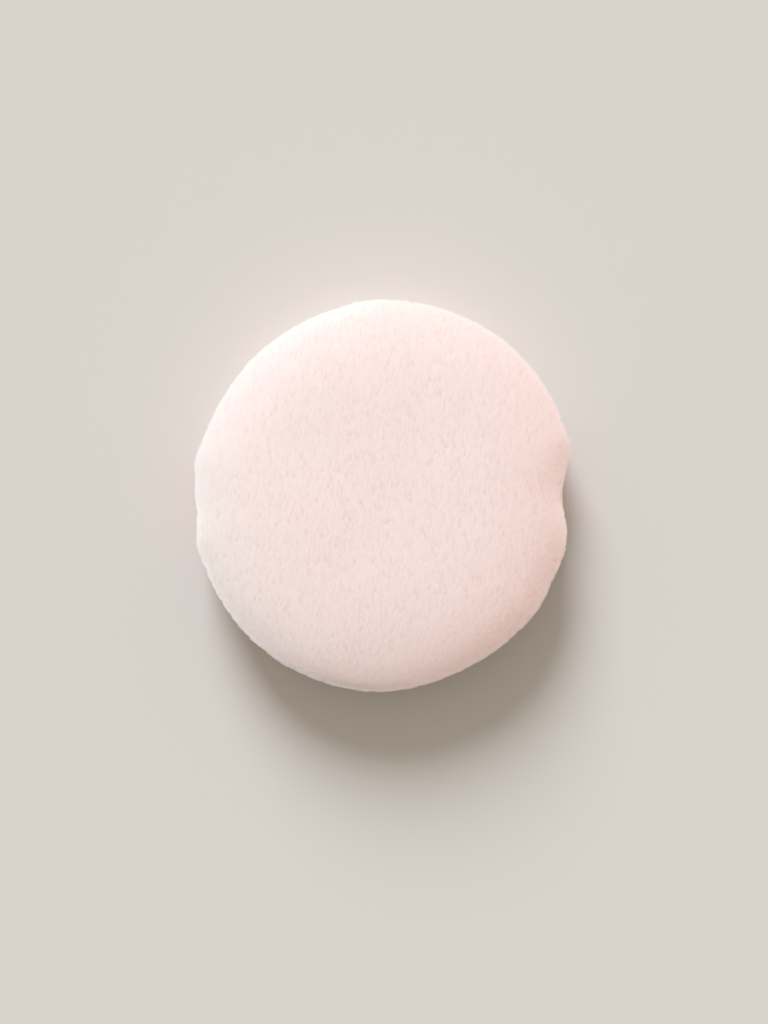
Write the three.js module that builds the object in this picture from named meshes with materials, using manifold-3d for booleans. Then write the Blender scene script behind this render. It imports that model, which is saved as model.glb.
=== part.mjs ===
// A round velour powder puff with a finger ribbon, built as it is sewn: two pile-fabric covers seamed
// edge to edge round a foam core, with the ends of the ribbon caught in the seam at two opposite sides.
// Millimetres, +Z up. The puff lies on its ribbon side, as on a dressing table: the origin is the centre
// of the flat patch that it rests on, X runs along the ribbon and Y across it.
import * as THREE from 'three';
import { mergeVertices } from 'three/addons/utils/BufferGeometryUtils.js';
import Module from 'manifold-3d';

// Driving dimensions: the plan outline
const FREE_LENGTH = 80; // across the ribbon, where nothing pulls on the puff
const FREE_WIDTH = 77.8; // along the ribbon, as the round sides beside its ends would run on
const TIED_WIDTH = 75.4; // along the ribbon, between the short straight sides that it draws in
const CORNER_SOFTNESS = 0.35; // rounding where a straight side meets a round one

// Driving dimensions: the section
const SEAM_HEIGHT = 7; // seam above the table
const CROWN_RISE = 10.5; // top of the face above the seam
const BASE_DIAMETER = 52; // flat patch that the puff rests on
const EDGE_ROLL = 2; // height of each cover's rolled edge, from the seam to its widest ring
const CREASE_DEPTH = 1.6; // how far the seam lies inside the face cover's widest ring
const BACK_INSET = 0.3; // how far the back cover's widest ring lies inside the face cover's
const COVER_THICKNESS = 2; // knitted ground and pile together
const SEAM_ALLOWANCE = 4.5; // turned-in margin of each cover, from the seam to its raw edge
const ALLOWANCE_THICKNESS = 1.2; // that margin, with its pile crushed flat
const CLEARANCE = 0.3; // between pieces that lie against each other

// Driving dimensions: the ribbon and the threads
const RIBBON_WIDTH = 16;
const RIBBON_THICKNESS = 0.4;
const RIBBON_TAIL = 3.6; // length of each end that the seam holds
const THREAD_DIAMETER = 0.4;
const STITCH_PITCH = 6.2; // along the needle line
const CLOSING_LENGTH = 26; // stretch of the seam that is left open for turning, then closed by hand
const CLOSING_PITCH = 3.2; // from one hand stitch to the next
const CLOSING_SWAY = 0.1; // how far the hand stitches swing to each side of the crease

// Shape numbers with no unit
const CROWN_FULLNESS = 2.5; // 2 is an ellipse, and more is flatter on top and rounder at the edge
const BACK_FULLNESS = 2.3;
const DRAW_FALLOFF = 4; // how quickly the ribbon's pull fades from the edge towards the middle
const STITCH_SQUARENESS = 0.35; // 1 is an oval loop round the raw edges, and 0 a square one

// Facets
const TURN_STEPS = 52;
const TURN_CROWDING = 0.55; // draws the facets together near the ribbon's ends, where the outline bends most
const CROWN_STEPS = 8;
const BACK_STEPS = 6;
const LINING_STEPS = 4;
const ROLL_STEPS = 3;
const STITCH_STEPS = 8;
const CLOSING_STEPS = 6;
const THREAD_SIDES = 5;
const HOLE_SIDES = 4;

// Values that follow from the driving dimensions
const FREE_RADIUS = FREE_LENGTH / 2;
const BACK_RADIUS = FREE_RADIUS - BACK_INSET;
const BASE_RADIUS = BASE_DIAMETER / 2;
const TOP = SEAM_HEIGHT + CROWN_RISE;
const HALF_GAP = CLEARANCE / 2; // from the seam plane to each cover
const CREASE_RADIUS = FREE_RADIUS - CREASE_DEPTH;
const RAW_EDGE_RADIUS = CREASE_RADIUS - SEAM_ALLOWANCE;
const THREAD_RADIUS = THREAD_DIAMETER / 2;
const HOLE_RADIUS = THREAD_RADIUS + CLEARANCE;
const NEEDLE_RADIUS = BACK_RADIUS - COVER_THICKNESS - CLEARANCE - HOLE_RADIUS;
const EDGE_SIDE_RADIUS = RAW_EDGE_RADIUS - CLEARANCE - THREAD_RADIUS; // thread's line beside the raw edges
const ALLOWANCE_LEVEL = HALF_GAP + ALLOWANCE_THICKNESS; // from the seam plane to a margin's far side
const STITCH_REACH = ALLOWANCE_LEVEL + CLEARANCE + THREAD_RADIUS; // thread's line above and below the margins
const POCKET_REACH = STITCH_REACH + THREAD_RADIUS + CLEARANCE; // half the height of the core's edge pocket
const POCKET_RADIUS = EDGE_SIDE_RADIUS - THREAD_RADIUS - CLEARANCE;
const QUARTER_TURN = Math.PI / 2;

const wasm = await Module();
wasm.setup();

// A geometry as a solid that can be cut. Faces that collapse on the axis are dropped.
function toSolid(geometry) {
  const bare = new THREE.BufferGeometry();
  bare.setAttribute('position', geometry.getAttribute('position'));
  bare.setIndex(geometry.index);
  const merged = mergeVertices(bare, 1e-4);
  const corners = merged.index.array;
  const kept = [];
  for (let i = 0; i < corners.length; i += 3) {
    const [a, b, c] = corners.subarray(i, i + 3);
    if (a !== b && b !== c && c !== a) kept.push(a, b, c);
  }
  const vertProperties = merged.getAttribute('position').array;
  return new wasm.Manifold(new wasm.Mesh({ numProp: 3, vertProperties, triVerts: new Uint32Array(kept) }));
}

function toGeometry(solid) {
  const mesh = solid.getMesh();
  const geometry = new THREE.BufferGeometry();
  geometry.setAttribute('position', new THREE.BufferAttribute(mesh.vertProperties, 3));
  geometry.setIndex(new THREE.BufferAttribute(mesh.triVerts, 1));
  geometry.computeVertexNormals();
  return geometry;
}

// Plan radius of the puff's edge: an oval, cut off by the straight sides at the ribbon's ends.
function outlineRadius(angle) {
  const oval = 1 / Math.hypot(Math.cos(angle) / (FREE_WIDTH / 2), Math.sin(angle) / FREE_RADIUS);
  const side = TIED_WIDTH / 2 / Math.max(Math.abs(Math.cos(angle)), 1e-6);
  const blend = Math.log1p(Math.exp(-Math.abs(oval - side) / CORNER_SOFTNESS));
  return Math.min(oval, side) - CORNER_SOFTNESS * blend;
}

// Where a ring of the round, untied puff lies once the ribbon has drawn the edge in.
function drawnRadius(radius, angle) {
  const pull = FREE_RADIUS - outlineRadius(angle);
  return radius - pull * (radius / FREE_RADIUS) ** DRAW_FALLOFF;
}

function drawnPoint(radius, angle, height) {
  const drawn = drawnRadius(radius, angle);
  return new THREE.Vector3(drawn * Math.cos(angle), drawn * Math.sin(angle), height);
}

// A section turned round the axis, then drawn in by the ribbon.
function turned(section) {
  const geometry = new THREE.LatheGeometry(section, TURN_STEPS).rotateX(QUARTER_TURN);
  const position = geometry.getAttribute('position');
  for (let i = 0; i < position.count; i++) {
    const even = Math.atan2(position.getY(i), position.getX(i));
    const angle = even - (TURN_CROWDING / 2) * Math.sin(2 * even);
    const radius = Math.hypot(position.getX(i), position.getY(i));
    const point = drawnPoint(radius, angle, position.getZ(i));
    position.setXYZ(i, point.x, point.y, point.z);
  }
  return geometry;
}

// A quarter of a full oval from its flat end, at centreRadius, to its upright end, reach further out.
function quarterOval(centreRadius, reach, fromHeight, toHeight, fullness, steps) {
  return Array.from({ length: steps + 1 }, (_, i) => {
    const turn = (i / steps) * QUARTER_TURN;
    const out = Math.sin(turn) ** (2 / fullness);
    const up = Math.max(Math.cos(turn), 0) ** (2 / fullness);
    return new THREE.Vector2(centreRadius + reach * out, toHeight + (fromHeight - toHeight) * up);
  });
}

// The face cover: a crowned shell whose edge rolls under to the seam and turns in as a flat margin.
function faceCover() {
  const widest = SEAM_HEIGHT + EDGE_ROLL;
  const underside = SEAM_HEIGHT + HALF_GAP;
  const marginTop = SEAM_HEIGHT + ALLOWANCE_LEVEL;
  const liningRadius = FREE_RADIUS - COVER_THICKNESS;
  const section = [
    ...quarterOval(0, liningRadius, TOP - COVER_THICKNESS, marginTop, CROWN_FULLNESS, LINING_STEPS),
    new THREE.Vector2(RAW_EDGE_RADIUS, marginTop),
    new THREE.Vector2(RAW_EDGE_RADIUS, underside),
    ...quarterOval(CREASE_RADIUS, CREASE_DEPTH, underside, widest, 2, ROLL_STEPS),
    ...quarterOval(0, FREE_RADIUS, TOP, widest, CROWN_FULLNESS, CROWN_STEPS).reverse().slice(1),
  ];
  return toSolid(turned(section));
}

// The back cover's outer skin, from the middle of its flat base out and up to its widest ring.
function backSkin() {
  const widest = SEAM_HEIGHT - EDGE_ROLL;
  return quarterOval(BASE_RADIUS, BACK_RADIUS - BASE_RADIUS, 0, widest, BACK_FULLNESS, BACK_STEPS);
}

// The rolled edge above that ring, which ends flat at the crease of the seam.
function backRoll() {
  const reach = BACK_RADIUS - CREASE_RADIUS;
  const [widest, topside] = [SEAM_HEIGHT - EDGE_ROLL, SEAM_HEIGHT - HALF_GAP];
  return quarterOval(CREASE_RADIUS, reach, topside, widest, 2, ROLL_STEPS).reverse();
}

// The back cover: a shallower shell with a flat base, rolled and turned in like the face cover.
function backCover() {
  const marginTop = SEAM_HEIGHT - HALF_GAP;
  const marginUnder = SEAM_HEIGHT - ALLOWANCE_LEVEL;
  const reach = BACK_RADIUS - COVER_THICKNESS - BASE_RADIUS;
  const lining = quarterOval(BASE_RADIUS, reach, COVER_THICKNESS, marginUnder, BACK_FULLNESS, LINING_STEPS);
  const section = [
    new THREE.Vector2(0, 0),
    ...backSkin(),
    ...backRoll().slice(1),
    new THREE.Vector2(RAW_EDGE_RADIUS, marginTop),
    new THREE.Vector2(RAW_EDGE_RADIUS, marginUnder),
    ...lining.reverse(),
    new THREE.Vector2(0, COVER_THICKNESS),
  ];
  return toSolid(turned(section));
}

// The foam core fills the covers. A pocket round its edge takes the seam's margins and their stitches.
function foamCore() {
  const inset = COVER_THICKNESS + CLEARANCE;
  const marginTop = SEAM_HEIGHT + ALLOWANCE_LEVEL;
  const marginUnder = SEAM_HEIGHT - ALLOWANCE_LEVEL;
  const lowerReach = BACK_RADIUS - inset - BASE_RADIUS;
  const section = [
    new THREE.Vector2(0, inset),
    ...quarterOval(BASE_RADIUS, lowerReach, inset, marginUnder, BACK_FULLNESS, LINING_STEPS),
    ...quarterOval(0, FREE_RADIUS - inset, TOP - inset, marginTop, CROWN_FULLNESS, LINING_STEPS).reverse(),
  ];
  const [floor, ceiling] = [SEAM_HEIGHT - POCKET_REACH, SEAM_HEIGHT + POCKET_REACH];
  const pocket = [
    new THREE.Vector2(POCKET_RADIUS, floor),
    new THREE.Vector2(FREE_RADIUS, floor),
    new THREE.Vector2(FREE_RADIUS, ceiling),
    new THREE.Vector2(POCKET_RADIUS, ceiling),
    new THREE.Vector2(POCKET_RADIUS, floor),
  ];
  return toSolid(turned(section)).subtract(toSolid(turned(pocket)));
}

// A line of points moved sideways by a distance, to the left of the way it runs.
function offsetLine(points, distance) {
  return points.map((point, i) => {
    const before = points[Math.max(i - 1, 0)];
    const after = points[Math.min(i + 1, points.length - 1)];
    const arriving = (i > 0 ? point.clone().sub(before) : after.clone().sub(point)).normalize();
    const leaving = (after !== point ? after.clone().sub(point) : arriving.clone()).normalize();
    const along = arriving.clone().add(leaving).normalize();
    const mitre = distance / Math.max(along.dot(leaving), 0.5);
    return new THREE.Vector2(point.x - along.y * mitre, point.y + along.x * mitre);
  });
}

// The ribbon lies let into the pile of the back, flush with it: from one end in the seam, round the
// rolled edge, under the base and up to the other end. With grow it is the room that the ribbon needs.
function ribbonSolid(grow) {
  const tail = new THREE.Vector2(CREASE_RADIUS - RIBBON_TAIL - grow, SEAM_HEIGHT - HALF_GAP);
  const half = [tail, ...backRoll().reverse(), ...backSkin().reverse().slice(1)];
  const right = half.map((point) => new THREE.Vector2(drawnRadius(point.x, 0), point.y));
  const left = right.map((point) => new THREE.Vector2(-point.x, point.y)).reverse();
  const skin = [...right, ...left];
  const outer = offsetLine(skin, grow);
  const inner = offsetLine(skin, -RIBBON_THICKNESS - grow);
  const outline = new THREE.Shape([...outer, ...inner.reverse()]);
  const depth = RIBBON_WIDTH + 2 * grow;
  const geometry = new THREE.ExtrudeGeometry(outline, { depth, bevelEnabled: false, curveSegments: 1 });
  return toSolid(geometry.rotateX(QUARTER_TURN).translate(0, depth / 2, 0));
}

// The machine seam leaves CLOSING_LENGTH open at the far side, +Y. Stitches are shared out over the rest.
const CLOSING_ANGLE = CLOSING_LENGTH / CREASE_RADIUS;
const SEWN_FROM = QUARTER_TURN + CLOSING_ANGLE / 2;
const SEWN_ANGLE = 2 * Math.PI - CLOSING_ANGLE;
const STITCH_COUNT = Math.max(Math.floor((SEWN_ANGLE * NEEDLE_RADIUS) / STITCH_PITCH), 1);
const STITCH_ANGLE = SEWN_ANGLE / STITCH_COUNT;

// A curve given by a formula, sampled evenly in its own parameter.
class FormulaCurve extends THREE.Curve {
  constructor(pointAt) {
    super();
    this.pointAt = pointAt;
  }

  getPoint(t) {
    return this.pointAt(t);
  }

  getUtoTmapping(u) {
    return u;
  }
}

function threadSolid(pointAt, steps) {
  const round = Array.from({ length: THREAD_SIDES }, (_, i) => {
    const turn = (i / THREAD_SIDES) * 2 * Math.PI;
    return new THREE.Vector2(THREAD_RADIUS * Math.cos(turn), THREAD_RADIUS * Math.sin(turn));
  });
  const options = { steps, extrudePath: new FormulaCurve(pointAt), bevelEnabled: false };
  return toSolid(new THREE.ExtrudeGeometry(new THREE.Shape(round), options));
}

const squared = (value) => Math.sign(value) * Math.abs(value) ** STITCH_SQUARENESS;

// The overedge seam: one thread that loops round both raw edges and comes through both margins, and
// through the ribbon's ends, at each needle hole. It only moves along the seam on the raw-edge side.
function seamThreadPoint(t) {
  const stitch = Math.min(Math.floor(t * STITCH_COUNT), STITCH_COUNT - 1);
  const part = t * STITCH_COUNT - stitch;
  const turn = part * 2 * Math.PI;
  const middle = (NEEDLE_RADIUS + EDGE_SIDE_RADIUS) / 2;
  const swing = (NEEDLE_RADIUS - EDGE_SIDE_RADIUS) / 2;
  const advance = Math.min(2 * part, 0.5) + Math.max(2 * part - 1.5, 0);
  const angle = SEWN_FROM + STITCH_ANGLE * (stitch + advance);
  const radius = middle - swing * squared(Math.cos(turn));
  return drawnPoint(radius, angle, SEAM_HEIGHT + STITCH_REACH * squared(Math.sin(turn)));
}

function seamThread() {
  return threadSolid(seamThreadPoint, STITCH_COUNT * STITCH_STEPS);
}

// The needle holes, as posts to cut with. The thread leans a little on its way through, so that each
// hole is centred between the thread's places at the seam plane and at the margins' far sides.
function needleHoles() {
  const lean = ((NEEDLE_RADIUS - EDGE_SIDE_RADIUS) / 2) * (1 - squared(Math.SQRT1_2));
  const radius = NEEDLE_RADIUS - lean / 2;
  const height = 2 * STITCH_REACH;
  const posts = Array.from({ length: STITCH_COUNT }, (_, i) => {
    const angle = SEWN_FROM + STITCH_ANGLE * (i + 0.5);
    const place = drawnPoint(radius, angle, SEAM_HEIGHT);
    const post = new THREE.CylinderGeometry(HOLE_RADIUS, HOLE_RADIUS, height, HOLE_SIDES);
    return toSolid(post.rotateX(QUARTER_TURN).rotateZ(angle).translate(place.x, place.y, place.z));
  });
  return posts.reduce((all, post) => all.add(post));
}

// The closing thread: hand stitches that swing from fold to fold in the crease where the cover was turned.
// It lies where the folds leave room for the thread, its swing and a clearance.
function closingThread() {
  const room = THREAD_RADIUS + CLEARANCE + CLOSING_SWAY;
  const rise = (EDGE_ROLL - room) / (EDGE_ROLL - HALF_GAP);
  const radius = CREASE_RADIUS + CREASE_DEPTH * Math.sqrt(1 - rise ** 2);
  const swings = Math.max(Math.round(CLOSING_LENGTH / CLOSING_PITCH), 1);
  const pointAt = (t) => {
    const angle = QUARTER_TURN + CLOSING_ANGLE * (t - 0.5);
    return drawnPoint(radius, angle, SEAM_HEIGHT + CLOSING_SWAY * Math.sin(t * swings * 2 * Math.PI));
  };
  return threadSolid(pointAt, swings * CLOSING_STEPS);
}

// Fabrics: a colour, and how rough it is. None is metal.
function fabric(colour, roughness) {
  return new THREE.MeshStandardMaterial({ color: colour, roughness, metalness: 0 });
}

const velour = fabric(0xf3d9d4, 0.95);
const satin = fabric(0xf0c6c0, 0.4);
const foam = fabric(0xf7f1e6, 1);
const cotton = fabric(0xf1d3cd, 0.8);

const puff = new THREE.Group();

function addPiece(name, solid, material) {
  const piece = new THREE.Mesh(toGeometry(solid), material);
  piece.name = name;
  puff.add(piece);
}

const holes = needleHoles();
addPiece('face_cover', faceCover().subtract(holes), velour);
addPiece('back_cover', backCover().subtract(ribbonSolid(CLEARANCE)).subtract(holes), velour);
addPiece('foam_core', foamCore(), foam);
addPiece('finger_ribbon', ribbonSolid(0).subtract(holes), satin);
addPiece('seam_thread', seamThread(), cotton);
addPiece('closing_thread', closingThread(), cotton);

export default puff;
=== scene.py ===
# %% [markdown]
# A velour powder puff, lying face up. It is a soft disc of two pile-fabric covers sewn edge to edge round
# foam, with a satin ribbon across its back for the fingers. The imported model is loaded first as a fixed
# frame: it gives the real sizes and the two bodies, the puff and its ribbon, that the covers, the pile, the
# stitches and the table ride on.

# %% the frame
import math

import bmesh
import bpy
import numpy as np
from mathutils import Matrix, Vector, noise


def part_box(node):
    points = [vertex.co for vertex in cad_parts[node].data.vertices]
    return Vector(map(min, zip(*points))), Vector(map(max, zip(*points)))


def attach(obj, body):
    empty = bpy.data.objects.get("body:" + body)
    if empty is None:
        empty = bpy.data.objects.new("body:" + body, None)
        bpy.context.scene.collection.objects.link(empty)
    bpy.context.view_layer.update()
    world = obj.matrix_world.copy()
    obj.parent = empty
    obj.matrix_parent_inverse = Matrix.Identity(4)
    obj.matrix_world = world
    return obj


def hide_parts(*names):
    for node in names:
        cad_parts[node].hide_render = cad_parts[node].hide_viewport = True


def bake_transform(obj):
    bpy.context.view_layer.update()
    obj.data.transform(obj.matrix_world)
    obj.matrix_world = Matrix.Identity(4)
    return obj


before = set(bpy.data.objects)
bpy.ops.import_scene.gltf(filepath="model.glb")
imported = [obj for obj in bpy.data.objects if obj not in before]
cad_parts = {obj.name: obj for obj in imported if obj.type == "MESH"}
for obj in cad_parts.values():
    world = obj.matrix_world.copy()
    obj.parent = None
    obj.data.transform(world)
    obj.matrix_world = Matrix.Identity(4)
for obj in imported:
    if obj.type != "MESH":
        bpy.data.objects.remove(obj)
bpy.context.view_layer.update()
MM = 0.001
face_low, face_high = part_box("face_cover")
back_low, back_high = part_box("back_cover")
ribbon_low, ribbon_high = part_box("finger_ribbon")

# %% [markdown]
# The sizes that shape the puff. Those that the frame holds are read from it. The rest repeat the sewing
# pattern: how deep the seam sits, how the edges roll, and how long the pile is. The pile stands on a
# knitted ground, so the ground lies one pile depth inside the outline that the eye sees.

# %% sizes
FREE_RADIUS = face_high.y
TIED_RADIUS = face_high.x
BACK_RADIUS = back_high.y
TOP = face_high.z
SEAM = (face_low.z + back_high.z) / 2
SEAM_GAP = (face_low.z - back_high.z) / 2
OVAL_RADIUS = 38.9 * MM
CORNER_SOFTNESS = 0.35 * MM
DRAW_FALLOFF = 4
EDGE_ROLL = 2 * MM
CREASE_RADIUS = FREE_RADIUS - 1.6 * MM
RAW_EDGE_RADIUS = CREASE_RADIUS - 4.5 * MM
BASE_RADIUS = 26 * MM
CROWN_FULLNESS = 3.3
BACK_FULLNESS = 2.3
PILE_DEPTH = 1.0 * MM
GROUND_THICKNESS = 0.8 * MM
RIBBON_WIDTH = ribbon_high.y - ribbon_low.y
RIBBON_THICKNESS = 0.4 * MM
TABLE_GAP = 0.03 * MM
print("seam at", round(SEAM / MM, 2), "mm, ribbon", round(RIBBON_WIDTH / MM, 1), "mm wide")

# %% [markdown]
# The plan outline. The taut ribbon pulls the round edge in to two short straight sides. A puff that has
# been handled is also a little skewed, so a two-lobed and a three-lobed drift are added. The ribbon pulls
# harder on one side, which dips below a small lip. The other side has slackened between two lips. The front
# has a flat and a corner where it was last pressed, and both it and the far edge have a slight lip.

# %% outline
SKEW, SKEW_ANGLE = 0.58 * MM, math.radians(43.5)
LOBES, LOBES_ANGLE = 0.1 * MM, math.radians(64)
DIP = {"height": -1.75 * MM, "at": -3.0, "width": 7.5}
LIP = {"height": 1.0 * MM, "at": 13.0, "width": 3.2}
SLACK = {"height": 0.65 * MM, "at": 180.0, "width": 15.0}
DENT = {"height": -0.5 * MM, "at": 182.5, "width": 2.5}
UPPER_LIP = {"height": 0.6 * MM, "at": 167.5, "width": 3.5}
LOWER_LIP = {"height": 0.7 * MM, "at": 192.5, "width": 3.5}
FLAT = {"height": -0.5 * MM, "at": 294.0, "width": 13.0}
CORNER = {"height": 0.5 * MM, "at": 320.0, "width": 6.0}
FRONT_LIP = {"height": 0.25 * MM, "at": 265.0, "width": 6.0}
FAR_LIP = {"height": 0.4 * MM, "at": 90.5, "width": 6.0}
HANDLING = (DIP, LIP, SLACK, DENT, UPPER_LIP, LOWER_LIP, FLAT, CORNER, FRONT_LIP, FAR_LIP)


def bump(angle, height, at, width):
    """A smooth rise or fall of the edge round one place, given in degrees."""
    apart = (angle - math.radians(at) + math.pi) % (2 * math.pi) - math.pi
    return height * np.exp(-((apart / math.radians(width)) ** 2))


def drift(angle):
    """How far the handled puff's edge lies outside the regular one."""
    lobes = SKEW * np.cos(2 * (angle - SKEW_ANGLE)) + LOBES * np.cos(3 * (angle - LOBES_ANGLE))
    return lobes + sum(bump(angle, **place) for place in HANDLING)


def outline_radius(angle):
    oval = 1 / np.hypot(np.cos(angle) / OVAL_RADIUS, np.sin(angle) / FREE_RADIUS)
    side = TIED_RADIUS / np.maximum(np.abs(np.cos(angle)), 1e-6)
    blend = np.log1p(np.exp(-np.abs(oval - side) / CORNER_SOFTNESS))
    return np.minimum(oval, side) - CORNER_SOFTNESS * blend


def drawn_radius(radius, angle, handled=1.0):
    """Where a ring of the round puff lies once the ribbon and the handling have moved its edge."""
    pull = FREE_RADIUS - outline_radius(angle) - handled * drift(angle)
    return radius - pull * (radius / FREE_RADIUS) ** DRAW_FALLOFF


print("edge from", round(float(drawn_radius(FREE_RADIUS, 0.0)) / MM, 2), "mm at the ribbon")

# %% [markdown]
# Each cover starts as a turned shape: a section through the cushion swept round the axis and drawn in. The
# section is a full oval from the crown to the rolled edge, which tucks under to the seam.

# %% turned cushions
TURN_STEPS = 240
CROWN_STEPS = 44
ROLL_STEPS = 8


def quarter_oval(centre, reach, from_height, to_height, fullness, steps):
    """A quarter of a full oval, from its flat end at the centre out to its upright end."""
    turn = np.linspace(0, math.pi / 2, steps + 1)
    out = np.sin(turn) ** (2 / fullness)
    up = np.maximum(np.cos(turn), 0) ** (2 / fullness)
    return np.column_stack([centre + reach * out, to_height + (from_height - to_height) * up])


def face_section(inset):
    """The face's ground: from mid-seam out to the crease, round the edge and over the crown."""
    radius, widest = FREE_RADIUS - inset, SEAM + EDGE_ROLL
    crease = CREASE_RADIUS - inset / 2
    roll = quarter_oval(crease, radius - crease, SEAM + SEAM_GAP, widest, 2, ROLL_STEPS)
    crown = quarter_oval(0, radius, TOP - inset, widest, CROWN_FULLNESS, CROWN_STEPS)
    return np.vstack([[[0, SEAM + SEAM_GAP]], roll, crown[::-1][1:]])


def back_section(inset):
    """The back's ground: from the middle of its base out and up to the crease, then in along the seam."""
    radius, widest = BACK_RADIUS - inset, SEAM - EDGE_ROLL
    crease = CREASE_RADIUS - inset / 2
    side = quarter_oval(BASE_RADIUS, radius - BASE_RADIUS, inset, widest, BACK_FULLNESS, CROWN_STEPS // 2)
    roll = quarter_oval(crease, radius - crease, SEAM - SEAM_GAP, widest, 2, ROLL_STEPS)
    return np.vstack([[[0, inset]], side, roll[::-1][1:], [[0, SEAM - SEAM_GAP]]])


def new_piece(name, vertices, faces):
    mesh = bpy.data.meshes.new(name)
    mesh.from_pydata([tuple(v) for v in vertices], [], faces)
    piece = bpy.data.objects.new(name, mesh)
    bpy.context.scene.collection.objects.link(piece)
    return piece


def turned(name, section):
    """The section, whose two ends are on the axis, swept once round and drawn in."""
    angles = np.linspace(0, 2 * math.pi, TURN_STEPS, endpoint=False)
    rings = section[1:-1]
    radius = drawn_radius(rings[:, 0][:, None], angles[None, :])
    height = np.repeat(rings[:, 1][:, None], TURN_STEPS, 1)
    grid = np.stack([radius * np.cos(angles), radius * np.sin(angles), height], -1).reshape(-1, 3)
    vertices = np.vstack([grid, [[0, 0, section[0, 1]]], [[0, 0, section[-1, 1]]]])
    first, last = len(grid), len(grid) + 1
    faces = []
    for step in range(TURN_STEPS):
        after = (step + 1) % TURN_STEPS
        faces.append((first, after, step))
        for ring in range(len(rings) - 1):
            low, high = ring * TURN_STEPS, (ring + 1) * TURN_STEPS
            faces.append((low + step, low + after, high + after, high + step))
        top = (len(rings) - 1) * TURN_STEPS
        faces.append((top + step, top + after, last))
    return new_piece(name, vertices, faces)


velour_face = turned("velour_face", face_section(PILE_DEPTH))
velour_back = turned("velour_back", back_section(PILE_DEPTH))
for piece in (velour_face, velour_back):
    print(piece.name, len(piece.data.polygons), "faces")

# %% [markdown]
# Foam under knitted fabric swells between the lines where it is held. Cloth simulation gives that: the
# turned shape is remeshed into even cells, held along the seam, and blown up a little from inside. Taut knit
# over foam has no puckers, so the swelling is evened out over the neighbours of each point. How far a point
# may move is capped, because the puff keeps its size, and evened again, so that the cap leaves no edge.

# %% plumping
VOXEL = 1.1 * MM
SMOOTH_SHARE, SMOOTH_TURNS = 0.5, 12
PLUMP_FRAMES = 20
PLUMP_PRESSURE = 30.0
PLUMP_CAP = 0.15 * MM
EVENING_TURNS = 60


def evaluated_mesh(piece):
    graph = bpy.context.evaluated_depsgraph_get()
    return bpy.data.meshes.new_from_object(piece.evaluated_get(graph))


def keep_modifiers(piece):
    """Replaces the piece's mesh by what its modifiers make of it, and removes them."""
    mesh = evaluated_mesh(piece)
    piece.modifiers.clear()
    old, piece.data = piece.data, mesh
    bpy.data.meshes.remove(old)
    mesh.name = piece.name


def coordinates(mesh):
    flat = np.empty(len(mesh.vertices) * 3, np.float32)
    mesh.vertices.foreach_get("co", flat)
    return flat.reshape(-1, 3).astype(float)


def set_coordinates(mesh, places):
    mesh.vertices.foreach_set("co", places.astype(np.float32).ravel())
    mesh.update()


def remeshed(piece):
    cells = piece.modifiers.new("cells", "REMESH")
    cells.mode = "VOXEL"
    cells.voxel_size = VOXEL
    keep_modifiers(piece)
    even = piece.modifiers.new("even", "SMOOTH")
    even.factor = SMOOTH_SHARE
    even.iterations = SMOOTH_TURNS
    keep_modifiers(piece)


def point_normals(mesh):
    return np.array([v.normal for v in mesh.vertices])


def corner_points(mesh):
    """The point that each corner of the faces belongs to."""
    corners = np.empty(len(mesh.loops), np.int32)
    mesh.loops.foreach_get("vertex_index", corners)
    return corners


def evened(mesh, values):
    """The values of the points, averaged again and again with those of their neighbours."""
    ends = np.empty(len(mesh.edges) * 2, np.int32)
    mesh.edges.foreach_get("vertices", ends)
    first, second = ends.reshape(-1, 2).T
    points = len(values)
    neighbours = np.bincount(ends, minlength=points)
    for _ in range(EVENING_TURNS):
        around = np.bincount(first, values[second], points) + np.bincount(second, values[first], points)
        values = (values + around / neighbours) / 2
    return values


def plump(piece):
    """Swells the piece by a short cloth simulation, held where it meets the seam plane."""
    start = coordinates(piece.data)
    held = piece.vertex_groups.new(name="held")
    near_seam = np.abs(start[:, 2] - SEAM) < EDGE_ROLL / 2
    on_table = start[:, 2] < PILE_DEPTH + VOXEL / 2
    held.add([int(i) for i in np.flatnonzero(near_seam | on_table)], 1.0, "REPLACE")
    cloth = piece.modifiers.new("cloth", "CLOTH")
    cloth.settings.vertex_group_mass = "held"
    cloth.settings.use_pressure = True
    cloth.settings.uniform_pressure_force = PLUMP_PRESSURE
    cloth.settings.effector_weights.gravity = 0
    cloth.point_cache.frame_start = 1
    cloth.point_cache.frame_end = PLUMP_FRAMES
    for step in range(1, PLUMP_FRAMES + 1):
        bpy.context.scene.frame_set(step)
        bpy.context.view_layer.update()
    swollen = evaluated_mesh(piece)
    moved = coordinates(swollen) - start
    bpy.data.meshes.remove(swollen)
    piece.modifiers.clear()
    piece.vertex_groups.clear()
    bpy.context.scene.frame_set(1)
    normals = point_normals(piece.data)
    swell = evened(piece.data, (moved * normals).sum(axis=1))
    swell = evened(piece.data, PLUMP_CAP * np.tanh(swell / PLUMP_CAP))
    set_coordinates(piece.data, start + normals * swell[:, None])
    lowest, highest = round(float(swell.min()) / MM, 2), round(float(swell.max()) / MM, 2)
    print(piece.name, "swells by", lowest, "to", highest, "mm")


for piece in (velour_face, velour_back):
    remeshed(piece)
    plump(piece)

# %% [markdown]
# A puff that has been used is never a perfect oval: the foam gives a little here and there. Slow noise moves
# each point along its normal by a fraction of a millimetre, which is enough for light to catch.

# %% soft lumps
LUMP_HEIGHT = 0.22 * MM
LUMP_SPAN = 17 * MM


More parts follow.
